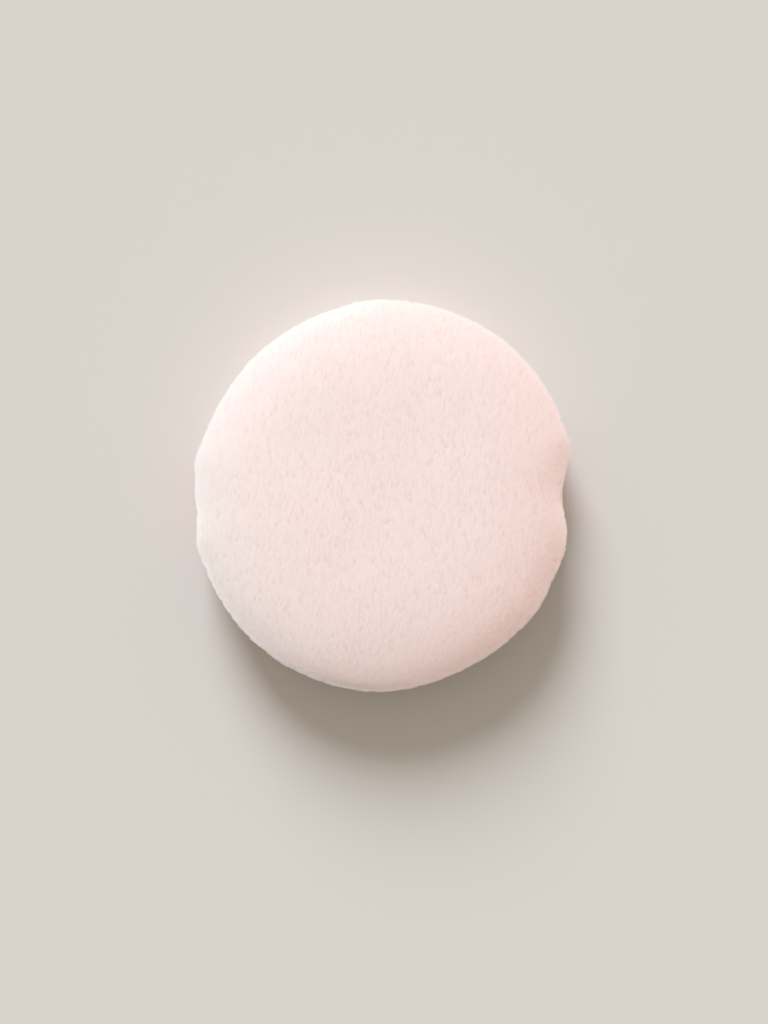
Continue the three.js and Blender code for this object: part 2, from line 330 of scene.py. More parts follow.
def lump(piece):
    mesh = piece.data
    places = coordinates(mesh)
    normals = point_normals(mesh)
    free = np.clip((np.abs(places[:, 2] - SEAM) - SEAM_GAP) / EDGE_ROLL, 0, 1)
    swell = np.array([noise.noise(Vector(p) / LUMP_SPAN) for p in places])
    resting = np.clip((places[:, 2] - PILE_DEPTH) / EDGE_ROLL, 0, 1)
    set_coordinates(mesh, places + normals * (LUMP_HEIGHT * swell * free * resting)[:, None])
    print(piece.name, "lumps up to", round(float(np.abs(swell).max()) * LUMP_HEIGHT / MM, 2), "mm")


for piece in (velour_face, velour_back):
    lump(piece)

# %% [markdown]
# The finger ribbon runs from the seam, round the rolled edge and under the base, to the seam on the other
# side. Its path is the bare outline of the back. It is taut, so it presses a shallow groove into the cover.

# %% ribbon path
RIBBON_TAIL = 3.6 * MM
RIBBON_STEP = 0.5 * MM


def half_ribbon_line(handled):
    """Across and height, from the middle of the base out, up the side and into the seam, at even steps."""
    base = [[0, 0]]
    tail = [[CREASE_RADIUS - RIBBON_TAIL, SEAM - SEAM_GAP]]
    line = np.vstack([base, back_section(0)[1:-1], tail])
    line[:, 0] = drawn_radius(line[:, 0], math.radians(DIP["at"]), handled)
    along = np.concatenate([[0], np.cumsum(np.linalg.norm(np.diff(line, axis=0), axis=1))])
    even = np.linspace(0, along[-1], int(along[-1] / RIBBON_STEP) + 1)
    return np.column_stack([np.interp(even, along, line[:, 0]), np.interp(even, along, line[:, 1])]), even


PULLED = {"ribbon_right": 0.6, "ribbon_left": 0.0}
ribbon_lines = {name: half_ribbon_line(handled) for name, handled in PULLED.items()}

# %% the groove
GROOVE_ROOM = 0.05 * MM
GROOVE_REACH = 0.4 * MM
GROOVE_SLOPE = 3 * MM


def outward_of(line):
    """The directions, in the plane of the path, that point away from the puff."""
    slope = np.gradient(line, axis=0)
    slope /= np.linalg.norm(slope, axis=1, keepdims=True)
    return np.column_stack([slope[:, 1], -slope[:, 0]])


def press_groove(piece, name, side):
    """Moves what would stand out through one half of the ribbon to just below it, and fades at its edges."""
    line, _ = ribbon_lines[name]
    outward = outward_of(line)
    places = coordinates(piece.data)
    beside = np.abs(places[:, 1]) - RIBBON_WIDTH / 2 - GROOVE_REACH
    near = np.flatnonzero((side * places[:, 0] > 0) & (beside < GROOVE_SLOPE))
    section = np.column_stack([side * places[near, 0], places[near, 2]])
    closest = np.linalg.norm(section[:, None] - line[None], axis=2).argmin(axis=1)
    depth = ((section - line[closest]) * outward[closest]).sum(axis=1)
    excess = np.maximum(depth + TABLE_GAP + RIBBON_THICKNESS + GROOVE_ROOM, 0)
    fade = np.clip(1 - beside[near] / GROOVE_SLOPE, 0, 1)
    section -= outward[closest] * (excess * fade * fade * (3 - 2 * fade))[:, None]
    places[near, 0], places[near, 2] = side * section[:, 0], section[:, 1]
    set_coordinates(piece.data, places)
    print(name, "presses the back in by up to", round(float(excess.max()) / MM, 2), "mm")


press_groove(velour_back, "ribbon_right", 1)
press_groove(velour_back, "ribbon_left", -1)

# %% [markdown]
# The closed cushions now become cloth. Each is cut open along the seam plane, so that only a turned-in margin
# is left there, and subdivided once. A copy of that open skin is kept for the pile to grow on. Solidify then
# gives the knitted ground its thickness, and closes it again.

# %% grounds
MARGIN_BAND = 0.5 * MM


def open_at_seam(piece):
    """Deletes the middle of the seam plane, inside the raw edge of the turned-in margin."""
    grid = bmesh.new()
    grid.from_mesh(piece.data)
    inner = []
    for face in grid.faces:
        middle = face.calc_center_median()
        level = abs(middle.z - SEAM) < SEAM_GAP + MARGIN_BAND
        if level and middle.xy.length < RAW_EDGE_RADIUS:
            inner.append(face)
    bmesh.ops.delete(grid, geom=inner, context="FACES")
    grid.to_mesh(piece.data)
    grid.free()


def finer(piece):
    levels = piece.modifiers.new("finer", "SUBSURF")
    levels.levels = levels.render_levels = 1
    keep_modifiers(piece)
    piece.data.shade_smooth()


def thicken(piece):
    wall = piece.modifiers.new("wall", "SOLIDIFY")
    wall.thickness = GROUND_THICKNESS
    wall.offset = -1
    keep_modifiers(piece)


# %% pile beds
RIBBON_ROOM = 0.5 * MM
PRESSED = 0.35
TRIMMED = 0.3


def add_value(mesh, name, values):
    layer = mesh.attributes.new(name, "FLOAT", "POINT")
    layer.data.foreach_set("value", np.asarray(values, np.float32))


def pile_bed(piece):
    """A copy of the open skin with two values: where pile grows, and how tall, which is less at the side."""
    mesh = piece.data.copy()
    places = coordinates(mesh)
    grows = np.abs(places[:, 2] - SEAM) > SEAM_GAP + MARGIN_BAND
    under = (places[:, 2] < SEAM) & (np.abs(places[:, 1]) < RIBBON_WIDTH / 2 + RIBBON_ROOM)
    trimmed = 1 - TRIMMED * (1 - np.abs(point_normals(mesh)[:, 2]))
    add_value(mesh, "grows", grows)
    add_value(mesh, "tall", np.where(under, PRESSED, trimmed))
    return mesh


beds = {}
for piece in (velour_face, velour_back):
    open_at_seam(piece)
    finer(piece)
    beds[piece.name] = pile_bed(piece)
    thicken(piece)
    print(piece.name, len(piece.data.polygons), "faces")

# %% [markdown]
# Node trees are wired with a few small helpers: one plugs a value or a link into a socket, one adds a node
# with its inputs by name, and two do sums. They serve the geometry trees and the materials alike.

# %% node helpers


def plug(tree, value, socket):
    if isinstance(value, bpy.types.NodeSocket):
        tree.links.new(value, socket)
    else:
        socket.default_value = value


def add_node(tree, kind, inputs=(), **settings):
    """A node with its settings, and its inputs given by name."""
    node = tree.nodes.new(kind)
    for name, value in settings.items():
        setattr(node, name, value)
    for name, value in dict(inputs).items():
        socket = [x for x in node.inputs if x.name == name and x.enabled][0]
        plug(tree, value, socket)
    return node


def result(node):
    """The node's one output that is in use."""
    return [x for x in node.outputs if x.enabled][0]


def vector_sum(tree, operation, first, second=None, scale=None):
    node = add_node(tree, "ShaderNodeVectorMath", operation=operation)
    plug(tree, first, node.inputs[0])
    if second is not None:
        plug(tree, second, node.inputs[1])
    if scale is not None:
        plug(tree, scale, node.inputs["Scale"])
    return result(node)


def plain_sum(tree, operation, *values):
    node = add_node(tree, "ShaderNodeMath", operation=operation)
    for value, socket in zip(values, node.inputs):
        plug(tree, value, socket)
    return result(node)


def mix_colours(tree, share, first, second):
    mixing = {"Factor": share, "A": first, "B": second}
    return result(add_node(tree, "ShaderNodeMix", mixing, data_type="RGBA"))


# %% colour helpers


def linear(red, green, blue):
    """A colour as a screen shows it, from 0 to 255, as the light values that shaders take."""
    shares = np.array([red, green, blue]) / 255
    light = np.where(shares <= 0.04045, shares / 12.92, ((shares + 0.055) / 1.055) ** 2.4)
    return (*(float(x) for x in light), 1.0)


def add_relief(tree, shader, height, strength, depth):
    """Fine relief from a pattern that runs from 0 to 1."""
    relief = add_node(tree, "ShaderNodeBump", {"Height": height, "Strength": strength, "Distance": depth})
    plug(tree, relief.outputs["Normal"], shader.inputs["Normal"])


def new_material(name, **settings):
    """A material with its shader's constant inputs set on the sockets."""
    material = bpy.data.materials.new(name)
    material.use_nodes = True
    shader = material.node_tree.nodes["Principled BSDF"]
    for key, value in settings.items():
        shader.inputs[key.replace("_", " ")].default_value = value
    return material, material.node_tree, shader


# %% [markdown]
# Velour. The pile is cut loops of fine yarn, no two tufts quite alike. Its colour is pale at the tips and
# deeper towards the ground, which is painted shade down between the tufts, since they cast no shadow on each
# other, and paler still round the steep side, which is painted sheen. Its soft glow at a slant is the shader's
# sheen. The ground below is a knit in the deeper colour.

# %% velour
PILE_TIP = linear(253, 237, 236)
# The deeper root colour is painted shade down between the tufts.
PILE_ROOT_SHADE = linear(248, 218, 216)
# A near-white colour: painted sheen for the steep side of the puff.
PILE_PAINTED_SHEEN = linear(255, 250, 249)
GROUND_PALE = linear(252, 230, 226)
GROUND_DEEP = linear(249, 219, 214)
TONE_SWING = 0.045
KNIT = {"Scale": 900.0, "Detail": 3.0}
KNIT_STRENGTH, KNIT_DEPTH = 0.3, 0.2 * MM
YARN = {"Roughness": 0.55, "Specular_IOR_Level": 0.35}
SHEEN = {"Sheen_Weight": 1.0, "Sheen_Roughness": 0.4, "Sheen_Tint": linear(255, 252, 250)}


def pile_material():
    material, tree, shader = new_material("velour_pile", **YARN, **SHEEN)
    tip = add_node(tree, "ShaderNodeAttribute", attribute_name="tip").outputs["Fac"]
    tone = add_node(tree, "ShaderNodeAttribute", attribute_name="tone").outputs["Fac"]
    brushed = add_node(tree, "ShaderNodeAttribute", attribute_name="brushed").outputs["Fac"]
    # The yarn colour, with painted shade towards the roots and painted sheen on the steep side.
    yarn = mix_colours(tree, brushed, mix_colours(tree, tip, PILE_ROOT_SHADE, PILE_TIP), PILE_PAINTED_SHEEN)
    bright = plain_sum(tree, "MULTIPLY_ADD", tone, TONE_SWING, 1 - TONE_SWING)
    plug(tree, vector_sum(tree, "SCALE", yarn, scale=bright), shader.inputs["Base Color"])
    return material


def ground_material():
    material, tree, shader = new_material("velour_ground", **YARN, **SHEEN)
    place = add_node(tree, "ShaderNodeTexCoord").outputs["Object"]
    knit = add_node(tree, "ShaderNodeTexNoise", {"Vector": place, **KNIT}).outputs["Fac"]
    plug(tree, mix_colours(tree, knit, GROUND_DEEP, GROUND_PALE), shader.inputs["Base Color"])
    add_relief(tree, shader, knit, KNIT_STRENGTH, KNIT_DEPTH)
    return material


VELOUR_PILE = pile_material()
VELOUR_GROUND = ground_material()
for piece in (velour_face, velour_back):
    piece.data.materials.append(VELOUR_GROUND)

# %% [markdown]
# The pile is real geometry, because it makes the soft rim that the eye reads as velour. A tuft is five thin
# strands from one root. Geometry Nodes scatter tufts over the bed and lean them with the nap, the way the
# pile was last stroked, with a little fan and splay so that no two lie quite alike.

# %% tufts
STRAND_SIDES = 3
STRAND_WIDTH = 0.1
ROOT_SPREAD = 0.1
TIP_SPREAD = 0.14
TIP_TWIST = 0.5
STRAND_HEIGHTS = (1.0, 0.84, 0.93, 0.77, 0.89)


def ring_point(radius, turn, height=0.0):
    return Vector((radius * math.cos(turn), radius * math.sin(turn), height))


def tuft():
    """Closed, three-sided strands, the tallest one unit high, with how near each point is to its tip."""
    vertices, faces, tips = [], [], []
    for strand, height in enumerate(STRAND_HEIGHTS):
        turn = 2 * math.pi * strand / len(STRAND_HEIGHTS)
        first = len(vertices)
        for side in range(STRAND_SIDES):
            around = turn + 2 * math.pi * side / STRAND_SIDES
            vertices.append(ring_point(ROOT_SPREAD, turn) + ring_point(STRAND_WIDTH, around))
        vertices.append(ring_point(TIP_SPREAD, turn + TIP_TWIST, height))
        a, b, c, top = range(first, first + 4)
        faces += [(a, c, b), (a, b, top), (b, c, top), (c, a, top)]
        tips += [0.0, 0.0, 0.0, 1.0]
    mesh = bpy.data.meshes.new("tuft")
    mesh.from_pydata(vertices, [], faces)
    add_value(mesh, "tip", tips)
    mesh.shade_smooth()
    return bpy.data.objects.new("tuft", mesh)


TUFT = tuft()
print("a tuft has", len(TUFT.data.polygons), "faces")

# %% the nap
NAP = (0.15, 1.0, 0.0)
FAN = {"Scale": 70.0, "Detail": 2.0}
NO_SWIRL = (0.5, 0.5, 0.5)
ROLLED_UNDER, FACING_UP = -0.5, 0.2


def random_value(tree, kind, seed, low, high):
    span = {"Min": low, "Max": high, "Seed": seed}
    return result(add_node(tree, "FunctionNodeRandomValue", span, data_type=kind))


def nap_direction(tree, given, normal):
    """Which way a tuft points: up from the bed, leaning with the nap unless rolled under, a little astray."""
    place = result(add_node(tree, "GeometryNodeInputPosition"))
    swirl = add_node(tree, "ShaderNodeTexNoise", {"Vector": place, **FAN}).outputs["Color"]
    sideways = vector_sum(tree, "SUBTRACT", swirl, NO_SWIRL)
    nap = vector_sum(tree, "ADD", vector_sum(tree, "SCALE", sideways, scale=given["Fan"]), NAP)
    upright = vector_sum(tree, "DOT_PRODUCT", nap, normal)
    along = vector_sum(tree, "SUBTRACT", nap, vector_sum(tree, "SCALE", normal, scale=upright))
    facing = add_node(tree, "ShaderNodeSeparateXYZ", {"Vector": normal}).outputs["Z"]
    range_up = {"Value": facing, "From Min": ROLLED_UNDER, "From Max": FACING_UP}
    lean = plain_sum(tree, "MULTIPLY", given["Lean"], result(add_node(tree, "ShaderNodeMapRange", range_up)))
    leaning = vector_sum(tree, "ADD", normal, vector_sum(tree, "SCALE", along, scale=lean))
    stray = random_value(tree, "FLOAT_VECTOR", given["Seed"], (-1, -1, -1), (1, 1, 1))
    return vector_sum(tree, "ADD", leaning, vector_sum(tree, "SCALE", stray, scale=given["Splay"]))


# %% the pile tree
PILE_INPUTS = {
    "Bed": "NodeSocketGeometry",
    "Tuft": "NodeSocketObject",
    "Density": "NodeSocketFloat",
    "Height": "NodeSocketFloat",
    "Width": "NodeSocketFloat",
    "Lean": "NodeSocketFloat",
    "Fan": "NodeSocketFloat",
    "Splay": "NodeSocketFloat",
    "Seed": "NodeSocketInt",
    "Material": "NodeSocketMaterial",
}
SHORTEST, LONGEST = 0.62, 1.28


def read_value(tree, name):
    return result(add_node(tree, "GeometryNodeInputNamedAttribute", {"Name": name}, data_type="FLOAT"))


def tuft_scale(tree, given, direction):
    """Tufts that lean are longer, so the pile is as deep all over, and their yarn is as thick everywhere."""
    longer = vector_sum(tree, "LENGTH", direction)
    uneven = random_value(tree, "FLOAT", given["Seed"], SHORTEST, LONGEST)
    height = plain_sum(tree, "MULTIPLY", given["Height"], read_value(tree, "tall"))
    length = plain_sum(tree, "MULTIPLY", plain_sum(tree, "MULTIPLY", height, longer), uneven)
    shape = {"X": given["Width"], "Y": given["Width"], "Z": length}
    return result(add_node(tree, "ShaderNodeCombineXYZ", shape))


def store(tree, geometry, name, kind, value):
    note = {"Geometry": geometry, "Name": name, "Value": value}
    return result(add_node(tree, "GeometryNodeStoreNamedAttribute", note, data_type=kind, domain="POINT"))


def new_tree(name, inputs):
    """A geometry tree with its named inputs, which come back with it, and one output."""
    tree = bpy.data.node_groups.new(name, "GeometryNodeTree")
    for title, kind in inputs.items():
        tree.interface.new_socket(title, in_out="INPUT", socket_type=kind)
    tree.interface.new_socket("Made", in_out="OUTPUT", socket_type="NodeSocketGeometry")
    return tree, tree.nodes.new("NodeGroupInput").outputs


def end_tree(tree, geometry, material):
    """Makes instances real, sets the material and hands the geometry out."""
    real = add_node(tree, "GeometryNodeRealizeInstances", {"Geometry": geometry})
    dressing = {"Geometry": real.outputs["Geometry"], "Material": material}
    dressed = add_node(tree, "GeometryNodeSetMaterial", dressing)
    plug(tree, dressed.outputs["Geometry"], tree.nodes.new("NodeGroupOutput").inputs["Made"])


def pile_tree():
    tree, given = new_tree("pile", PILE_INPUTS)
    density = plain_sum(tree, "MULTIPLY", given["Density"], read_value(tree, "grows"))
    rooting = {"Mesh": given["Bed"], "Density": density, "Seed": given["Seed"]}
    roots = add_node(tree, "GeometryNodeDistributePointsOnFaces", rooting)
    normal = roots.outputs["Normal"]
    points = store(tree, roots.outputs["Points"], "bed", "FLOAT_VECTOR", normal)
    points = store(tree, points, "tone", "FLOAT", random_value(tree, "FLOAT", given["Seed"], 0.0, 1.0))
    direction = nap_direction(tree, given, normal)
    turn = add_node(tree, "FunctionNodeAlignRotationToVector", {"Vector": direction}, axis="Z")
    planting = {
        "Points": points,
        "Instance": add_node(tree, "GeometryNodeObjectInfo", {"Object": given["Tuft"]}).outputs["Geometry"],
        "Rotation": turn.outputs["Rotation"],
        "Scale": tuft_scale(tree, given, direction),
    }
    tufts = add_node(tree, "GeometryNodeInstanceOnPoints", planting)
    end_tree(tree, tufts.outputs["Instances"], given["Material"])
    return tree


PILE_TREE = pile_tree()
print("the pile tree has", len(PILE_TREE.nodes), "nodes")

# %% [markdown]
# One piece of pile is one run of the tree over a bed. Fine yarn scatters light as the whole surface does, so
# its shading normals are mostly those of the bed, turned up a little at the rim, where light comes through
# the tufts. The pile that the puff lies on is pressed flat by its weight.

# %% growing pile
BED_SHARE, UP_SHARE, OWN_SHARE = 0.8, 2.2, 0.14
# Painted sheen: the pile's colour is paled towards near white where its bed is steep.
PAINTED_SHEEN_FROM, PAINTED_SHEEN_TO = math.radians(45), math.radians(80)
MOST_PAINTED_SHEEN = 0.25
LOWEST_TIP = -0.5 * MM
MAP_ACROSS = np.array([0.1, 0.5, 0.9, 0.5])
MAP_UP = np.array([0.1, 0.2, 0.1, 0.9])


def set_input(modifier, name, value):
    modifier[modifier.node_group.interface.items_tree[name].identifier] = value


def read_layer(mesh, name, width):
    flat = np.empty(len(mesh.vertices) * width, np.float32)
    mesh.attributes[name].data.foreach_get("vector" if width == 3 else "value", flat)
    return flat.reshape(-1, width).astype(float)


def growing_area(bed):
    """Square metres of the bed that carry pile."""
    grows = read_layer(bed, "grows", 1)[:, 0]
    return sum(face.area * grows[list(face.vertices)].mean() for face in bed.polygons)


def press_on_table(mesh):
    """Strands below the resting level are laid over, evenly, so that none goes into the table."""
    places = coordinates(mesh)
    share = (places[:, 2] - LOWEST_TIP) / (PILE_DEPTH - LOWEST_TIP)
    pressed = TABLE_GAP + np.clip(share, 0, 1) * (PILE_DEPTH - TABLE_GAP)
    places[:, 2] = np.where(places[:, 2] < PILE_DEPTH, pressed, places[:, 2])
    set_coordinates(mesh, places)


def soften_shading(mesh, bed):
    mixed = BED_SHARE * bed + OWN_SHARE * point_normals(mesh)
    mixed[:, 2] += UP_SHARE * (1 - np.abs(bed[:, 2]))
    mixed /= np.maximum(np.linalg.norm(mixed, axis=1, keepdims=True), 1e-9)
    mesh.normals_split_custom_set_from_vertices([tuple(n) for n in mixed])


def paint_rim_sheen(mesh, bed):
    """How far the pile's colour is paled at each point, as painted sheen, from how steep its bed is."""
    steepness = np.arccos(np.clip(np.abs(bed[:, 2]), 0, 1))
    share = np.clip((steepness - PAINTED_SHEEN_FROM) / (PAINTED_SHEEN_TO - PAINTED_SHEEN_FROM), 0, 1)
    add_value(mesh, "brushed", MOST_PAINTED_SHEEN * share)


def add_map(mesh, name, across, up):
    layer = mesh.uv_layers.new(name=name)
    layer.data.foreach_set("uv", np.column_stack([across, up]).astype(np.float32).ravel())


def tuft_map(mesh):
    """Gives each tuft a square of its own on the map, root to tip, so that its colours can be baked."""
    points = len(TUFT.data.vertices)
    corners = corner_points(mesh)
    number, point = corners // points, corners % points % (STRAND_SIDES + 1)
    columns = math.ceil(math.sqrt(len(mesh.vertices) / points))
    across = (number % columns + MAP_ACROSS[point]) / columns
    up = (number // columns + MAP_UP[point]) / columns
    add_map(mesh, "OFBake", across, up)


def grow_pile(name, bed, tufts, **values):
    """One piece of pile over the whole bed, as a plain mesh."""
    piece = bpy.data.objects.new(name, bed.copy())
    bpy.context.scene.collection.objects.link(piece)
    pile = piece.modifiers.new("pile", "NODES")
    pile.node_group = PILE_TREE
    values.update(Tuft=TUFT, Density=tufts / growing_area(bed), Material=VELOUR_PILE)
    for key, value in values.items():
        set_input(pile, key, value)
    keep_modifiers(piece)
    press_on_table(piece.data)
    bed_normals = read_layer(piece.data, "bed", 3)
    soften_shading(piece.data, bed_normals)
    paint_rim_sheen(piece.data, bed_normals)
    piece.data.attributes.remove(piece.data.attributes["bed"])
    tuft_map(piece.data)
    piece.visible_shadow = False
    piece.visible_diffuse = False
    piece.shadow_terminator_geometry_offset = 0
    print(name, len(piece.data.polygons), "faces")
    return piece


# %% pile on both covers
TUFTS = 9600
FACE_PILE = {"Height": 0.9 * MM, "Width": 1.3 * MM, "Lean": 2.4, "Fan": 0.45, "Splay": 0.2}
BACK_PILE = {"Height": 0.75 * MM, "Width": 1.3 * MM, "Lean": 1.6, "Fan": 0.6, "Splay": 0.25}
for piece in (velour_face, velour_back):
    soften_shading(piece.data, point_normals(piece.data))
    piece.shadow_terminator_geometry_offset = 0
FACE_SEEDS = range(4)
BACK_SEEDS = range(40, 42)
piles = []
for count, seed in enumerate(FACE_SEEDS, 1):
    piles.append(grow_pile(f"pile_face_{count}", beds["velour_face"], TUFTS, Seed=seed, **FACE_PILE))
for count, seed in enumerate(BACK_SEEDS, 1):
    piles.append(grow_pile(f"pile_back_{count}", beds["velour_back"], TUFTS, Seed=seed, **BACK_PILE))

# %% [markdown]
# The finger ribbon is double-faced satin, woven with a firm selvedge along each edge. Its ends are sewn in and
# its middle comes away from the back, so each half is a strip of its own, laid along the path.

# %% ribbon halves
SELVEDGE = 0.9 * MM
SELVEDGE_RISE = 0.05 * MM
EDGE_THINNEST = 0.3
ACROSS_STEPS = 40


def half_thickness(across):
    """Half the ribbon's thickness across it: even, a little corded at the selvedge, and rounded off."""
    from_edge = (0.5 - np.abs(across)) * RIBBON_WIDTH
    rounding = 1 - np.clip(from_edge / (RIBBON_THICKNESS / 2), 0, 1)
    edge_round = EDGE_THINNEST + (1 - EDGE_THINNEST) * np.sqrt(np.clip(1 - rounding**2, 0, 1))
    cord = SELVEDGE_RISE * np.clip(1 - from_edge / SELVEDGE, 0, 1)
    return (RIBBON_THICKNESS / 2 - SELVEDGE_RISE) * edge_round + cord


def strip_faces(rows, columns):
    """Joins an outer and an inner grid of points to a closed strip: its faces, its edges and its two ends."""
    number = np.arange(2 * rows * columns).reshape(2, rows, columns)
    quads = []
    for layer in (0, 1):
        a, b = number[layer, :-1, :-1], number[layer, 1:, :-1]
        c, d = number[layer, 1:, 1:], number[layer, :-1, 1:]
        quads.append(np.stack([a, b, c, d] if layer == 0 else [a, d, c, b], -1).reshape(-1, 4))
    for line in (number[:, :, 0], number[:, ::-1, -1], number[:, 0, ::-1], number[:, -1, :]):
        quads.append(np.stack([line[0, :-1], line[1, :-1], line[1, 1:], line[0, 1:]], -1))
    return np.vstack(quads)


def weave_map(mesh, across, along):
    """Across the ribbon is 0 to 1, and along it is in widths, so a weave follows the strip."""
    shape = (2, len(along), len(across))
    u = np.broadcast_to(across + 0.5, shape).reshape(-1)
    v = np.broadcast_to((along / RIBBON_WIDTH)[None, :, None], shape).reshape(-1)
    corners = corner_points(mesh)
    add_map(mesh, "weave", u[corners], v[corners])


def ribbon_half(name, side):
    """A closed strip on one side of the middle, laid along its path."""
    line, along = ribbon_lines[name]
    outward = outward_of(line)
    across = np.linspace(-0.5, 0.5, ACROSS_STEPS + 1)
    layers = []
    for sign in (1, -1):
        depth = TABLE_GAP + RIBBON_THICKNESS / 2 - sign * half_thickness(across)
        flat = line[:, None, :] - outward[:, None, :] * depth[None, :, None]
        width = np.broadcast_to(across * RIBBON_WIDTH, flat.shape[:2])
        layers.append(np.stack([side * flat[:, :, 0], width, flat[:, :, 1]], -1))
    faces = strip_faces(len(line), len(across))[:, ::side]
    piece = new_piece(name, np.concatenate(layers).reshape(-1, 3), faces.tolist())
    weave_map(piece.data, across, along)
    return piece


ribbon_right = ribbon_half("ribbon_right", 1)
ribbon_left = ribbon_half("ribbon_left", -1)
END_FACES = 2 * ACROSS_STEPS
for piece in (ribbon_right, ribbon_left):
    piece.data.shade_smooth()
    for face in list(piece.data.polygons)[-END_FACES:]:
        face.use_smooth = False
    print(piece.name, len(piece.data.polygons), "faces")

# %% [markdown]
# Satin shines because its warp threads float over many wefts before they dip under one. Its map is measured
# along and across the ribbon, so a noise stretched along it gives the floats, as colour and as fine relief.
# The selvedge along each edge is a plain weave and a shade deeper.

# %% satin
SATIN_PALE = linear(244, 205, 198)
SATIN_DEEP = linear(230, 180, 172)
SATIN_YARN = {"Roughness": 0.34, "Specular_IOR_Level": 0.5, "Sheen_Weight": 0.2, "Sheen_Roughness": 0.3}
WARP_THREADS = 110
FLOATS_ALONG = 5
FLOAT_STRENGTH, FLOAT_DEPTH = 0.35, 0.1 * MM


def satin_material():
    """Long warp floats: fine streaks along the ribbon, and a plain-woven, deeper selvedge."""
    material, tree, shader = new_material("satin", **SATIN_YARN)
    weave = add_node(tree, "ShaderNodeUVMap", uv_map="weave").outputs["UV"]
    stretch = add_node(tree, "ShaderNodeMapping", {"Vector": weave, "Scale": (WARP_THREADS, FLOATS_ALONG, 1)})
    floats = {"Vector": stretch.outputs["Vector"], "Scale": 1.0, "Detail": 2.0}
    streaks = add_node(tree, "ShaderNodeTexNoise", floats).outputs["Fac"]
    across = add_node(tree, "ShaderNodeSeparateXYZ", {"Vector": weave}).outputs["X"]
    off_middle = plain_sum(tree, "ABSOLUTE", plain_sum(tree, "SUBTRACT", across, 0.5))
    edge = plain_sum(tree, "GREATER_THAN", off_middle, 0.5 - SELVEDGE / RIBBON_WIDTH)
    satin = mix_colours(tree, streaks, SATIN_DEEP, SATIN_PALE)
    plug(tree, mix_colours(tree, edge, satin, SATIN_DEEP), shader.inputs["Base Color"])
    add_relief(tree, shader, streaks, FLOAT_STRENGTH, FLOAT_DEPTH)
    return material


SATIN = satin_material()
for piece in (ribbon_right, ribbon_left):
    piece.data.materials.append(SATIN)

# %% [markdown]
# The stretch of edge that was left open for turning is closed by hand. One thread runs in the crease and
# steps from cover to cover. Geometry Nodes sweep a round section along that line, which follows the edge.

# %% closing stitches
THREAD_DIAMETER = 0.4 * MM
CLOSING_LENGTH = 26 * MM
CLOSING_PITCH = 3.2 * MM
CLOSING_SWAY = 0.35 * MM
STEP_SHARPNESS = 2
CLOSING_POINTS = 160
THREAD_SIDES = 8


def closing_line():
    half = CLOSING_LENGTH / CREASE_RADIUS / 2
    angles = np.linspace(math.pi / 2 - half, math.pi / 2 + half, CLOSING_POINTS)
    turns = (angles - angles[0]) * CREASE_RADIUS / CLOSING_PITCH * 2 * math.pi
    radius = drawn_radius(CREASE_RADIUS - PILE_DEPTH / 2, angles) - THREAD_DIAMETER / 2
    height = SEAM + CLOSING_SWAY * np.tanh(STEP_SHARPNESS * np.sin(turns))
    return np.column_stack([radius * np.cos(angles), radius * np.sin(angles), height])


def thread_tree():
    """Sweeps a round section along a line of edges."""
    sockets = {"Line": "NodeSocketGeometry", "Diameter": "NodeSocketFloat", "Material": "NodeSocketMaterial"}
    tree, given = new_tree("thread", sockets)
    path = add_node(tree, "GeometryNodeMeshToCurve", {"Mesh": given["Line"]})
    radius = plain_sum(tree, "MULTIPLY", given["Diameter"], 0.5)
    round_section = {"Resolution": THREAD_SIDES, "Radius": radius}
    section = add_node(tree, "GeometryNodeCurvePrimitiveCircle", round_section)
    sweep = {"Curve": path.outputs["Curve"], "Profile Curve": section.outputs["Curve"], "Fill Caps": True}
    swept = add_node(tree, "GeometryNodeCurveToMesh", sweep)
    end_tree(tree, swept.outputs["Mesh"], given["Material"])
    return tree


# %% [markdown]
# The thread is two-ply cotton, so its relief runs in slanted bands, and its colour too, as painted light and
# shade of the twist. The foam can't be seen until the puff is cut open, but it is kept from the imported model
# and gets the pitted look of open cells, with painted shade in the pits.

# %% thread and foam
# The two thread colours are painted light and painted shade of the twisted plies.
PLY_PAINTED_LIGHT = linear(246, 222, 216)
PLY_PAINTED_SHADE = linear(226, 190, 183)
# The deeper foam colour is painted shade inside the pits.
FOAM_PALE = linear(250, 243, 232)
FOAM_PIT_SHADE = linear(232, 220, 205)
FUZZ = {"Roughness": 0.8, "Specular_IOR_Level": 0.2, "Sheen_Weight": 0.3}
PLIES = {"Scale": 900.0, "Distortion": 1.5}
PLY_STRENGTH, PLY_DEPTH = 0.5, 0.1 * MM
CELL_SCALE = 1400.0
PIT_STRENGTH, PIT_DEPTH = 0.6, 0.3 * MM


def thread_material():
    """Two-ply cotton: slanted bands of painted light and shade, with matching relief, and a little fuzz as
    sheen.
    """
    material, tree, shader = new_material("cotton_thread", **FUZZ)
    place = add_node(tree, "ShaderNodeTexCoord").outputs["Object"]
    twist = {"Vector": place, **PLIES}
    ply = add_node(tree, "ShaderNodeTexWave", twist, bands_direction="DIAGONAL").outputs["Fac"]
    plug(tree, mix_colours(tree, ply, PLY_PAINTED_SHADE, PLY_PAINTED_LIGHT), shader.inputs["Base Color"])
    add_relief(tree, shader, ply, PLY_STRENGTH, PLY_DEPTH)
    return material


def foam_material():
    """Open-cell foam: small pits in relief, creamy between and darkened inside with painted shade."""
    material, tree, shader = new_material("foam", Roughness=0.95, Specular_IOR_Level=0.1)
    place = add_node(tree, "ShaderNodeTexCoord").outputs["Object"]
    froth = {"Vector": place, "Scale": CELL_SCALE}
    cells = add_node(tree, "ShaderNodeTexVoronoi", froth).outputs["Distance"]
    plug(tree, mix_colours(tree, cells, FOAM_PIT_SHADE, FOAM_PALE), shader.inputs["Base Color"])
    add_relief(tree, shader, cells, PIT_STRENGTH, PIT_DEPTH)
    return material


